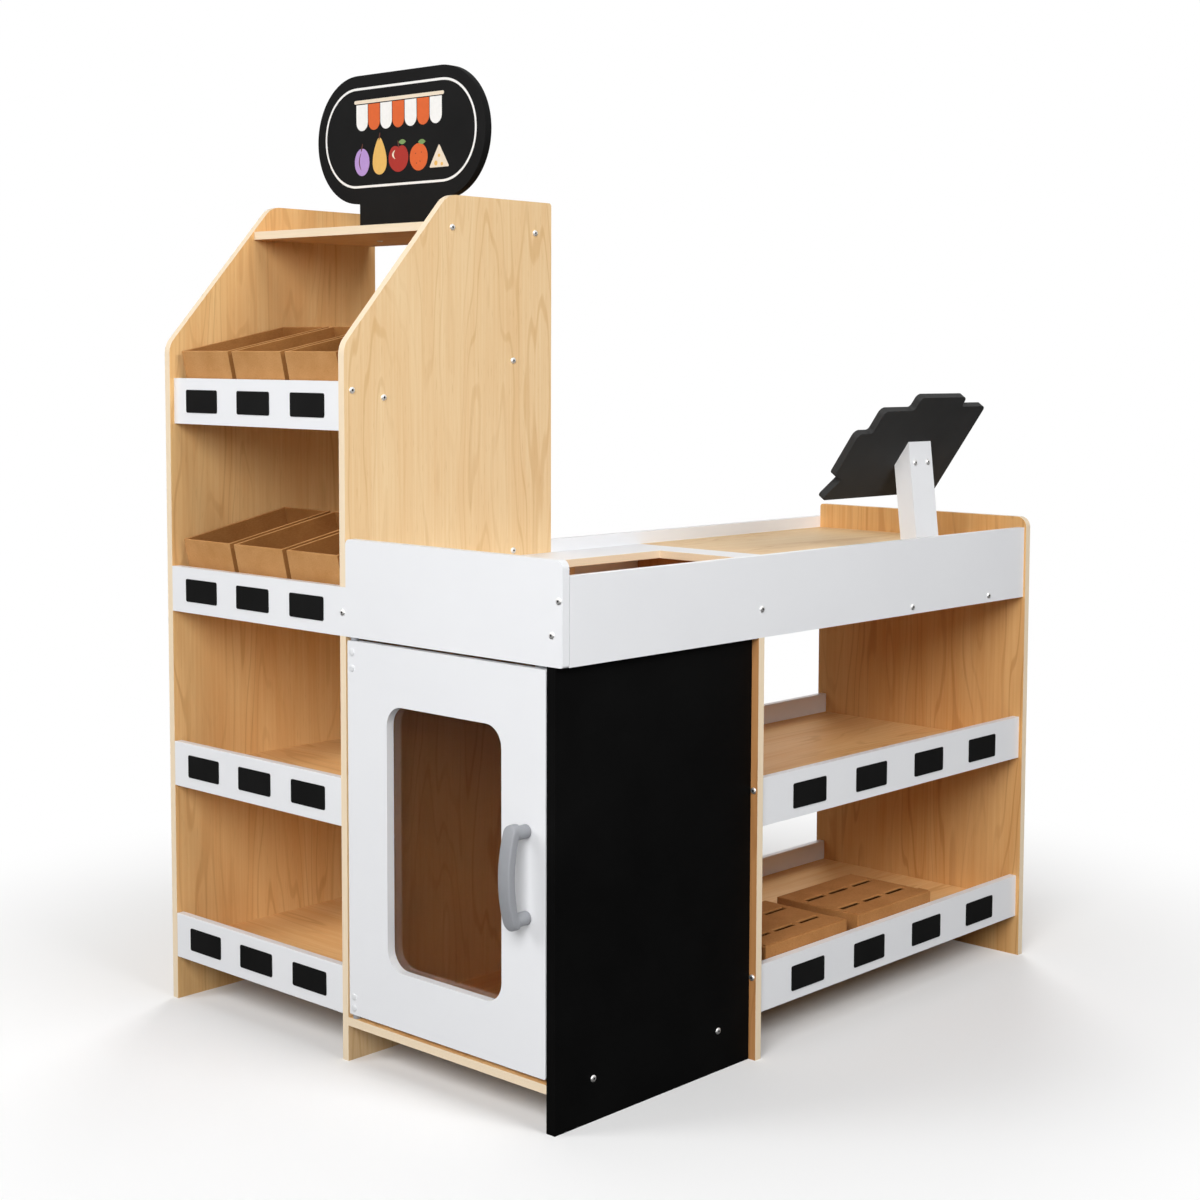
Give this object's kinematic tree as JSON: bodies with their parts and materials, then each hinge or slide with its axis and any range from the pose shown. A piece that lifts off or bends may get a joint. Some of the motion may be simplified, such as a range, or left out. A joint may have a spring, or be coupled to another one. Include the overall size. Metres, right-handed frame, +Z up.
{
  "type": "toy market stall",
  "caption": "Free-standing corner play shop with a tall display shelf, sign, trays, a cabinet with a windowed door, a sunken bin and a side counter with shelves and a screen.",
  "frame": {"origin": "centre of the bounding box on the floor", "axes": "+Z up, +X along the front from the tall shelf to the corner, +Y back along the counter"},
  "size_m": [0.6996, 0.9206, 1.1665],
  "materials": {
    "maple": "matt wood laminate",
    "white_board": "satin white coat",
    "black_board": "matt chalkboard coat",
    "label_film": "matt film",
    "clear_sheet": "clear",
    "grey_plastic": "satin",
    "white_plastic": "satin",
    "steel": "satin",
    "cardboard": "bare board"
  },
  "bodies": {
    "stall": {"left_side_panel": "maple", "middle_side_panel": "maple", "header_shelf": "maple", "upper_tray_shelf": "maple", "lower_tray_shelf": "maple", "middle_shelf": "maple", "bottom_shelf": "maple", "divider_panel": "maple", "end_panel": "maple", "cabinet_floor": "maple", "cabinet_ceiling": "maple", "counter_base": "maple", "counter_cross_board": "maple", "counter_top": "maple", "side_middle_shelf": "maple", "side_bottom_shelf": "maple", "upper_fascia": "white_board", "middle_fascia": "white_board", "bottom_fascia": "white_board", "middle_back_rail": "white_board", "bottom_back_rail": "white_board", "front_apron": "white_board", "side_apron": "white_board", "rear_apron": "white_board", "bin_top": "white_board", "side_middle_fascia": "white_board", "side_bottom_fascia": "white_board", "side_middle_rail": "white_board", "side_bottom_rail": "white_board", "screen_post": "white_board", "header_sign": "black_board", "chalkboard_panel": "black_board", "screen_board": "black_board", "tall_unit_labels": "label_film", "side_unit_labels": "label_film", "pivot_bushes": "grey_plastic", "door_catch": "white_plastic", "screen_screws": "steel", "tall_unit_screws": "steel", "counter_screws": "steel"},
    "door": {"cabinet_door": "white_board", "door_window": "clear_sheet", "door_handle": "grey_plastic", "pivot_pins": "steel", "hinge_caps": "white_plastic", "handle_screws": "steel", "window_screws": "steel", "catch_plate": "steel"},
    "upper_left_tray": {"upper_left_tray": "cardboard"},
    "upper_middle_tray": {"upper_middle_tray": "cardboard"},
    "upper_right_tray": {"upper_right_tray": "cardboard"},
    "lower_left_tray": {"lower_left_tray": "cardboard"},
    "lower_middle_tray": {"lower_middle_tray": "cardboard"},
    "lower_right_tray": {"lower_right_tray": "cardboard"},
    "near_cake_stand": {"near_cake_stand": "cardboard"},
    "far_cake_stand": {"far_cake_stand": "cardboard"}
  },
  "joints": [
    {"name": "door_swing", "type": "hinge", "parent": "stall", "child": "door", "pos_m": [0.0098, -0.4213, 0.27], "axis": [0, 0, -1], "range_deg": [0, 110]},
    {"name": "upper_left_tray_lift", "type": "slide", "parent": "stall", "child": "upper_left_tray", "axis": [0, 0, 1], "range_m": [0, 0.06]},
    {"name": "upper_middle_tray_lift", "type": "slide", "parent": "stall", "child": "upper_middle_tray", "axis": [0, 0, 1], "range_m": [0, 0.06]},
    {"name": "upper_right_tray_lift", "type": "slide", "parent": "stall", "child": "upper_right_tray", "axis": [0, 0, 1], "range_m": [0, 0.06]},
    {"name": "lower_left_tray_lift", "type": "slide", "parent": "stall", "child": "lower_left_tray", "axis": [0, 0, 1], "range_m": [0, 0.06]},
    {"name": "lower_middle_tray_lift", "type": "slide", "parent": "stall", "child": "lower_middle_tray", "axis": [0, 0, 1], "range_m": [0, 0.06]},
    {"name": "lower_right_tray_lift", "type": "slide", "parent": "stall", "child": "lower_right_tray", "axis": [0, 0, 1], "range_m": [0, 0.06]},
    {"name": "near_cake_stand_lift", "type": "slide", "parent": "stall", "child": "near_cake_stand", "axis": [0, 0, 1], "range_m": [0, 0.08]},
    {"name": "far_cake_stand_lift", "type": "slide", "parent": "stall", "child": "far_cake_stand", "axis": [0, 0, 1], "range_m": [0, 0.08]}
  ]
}
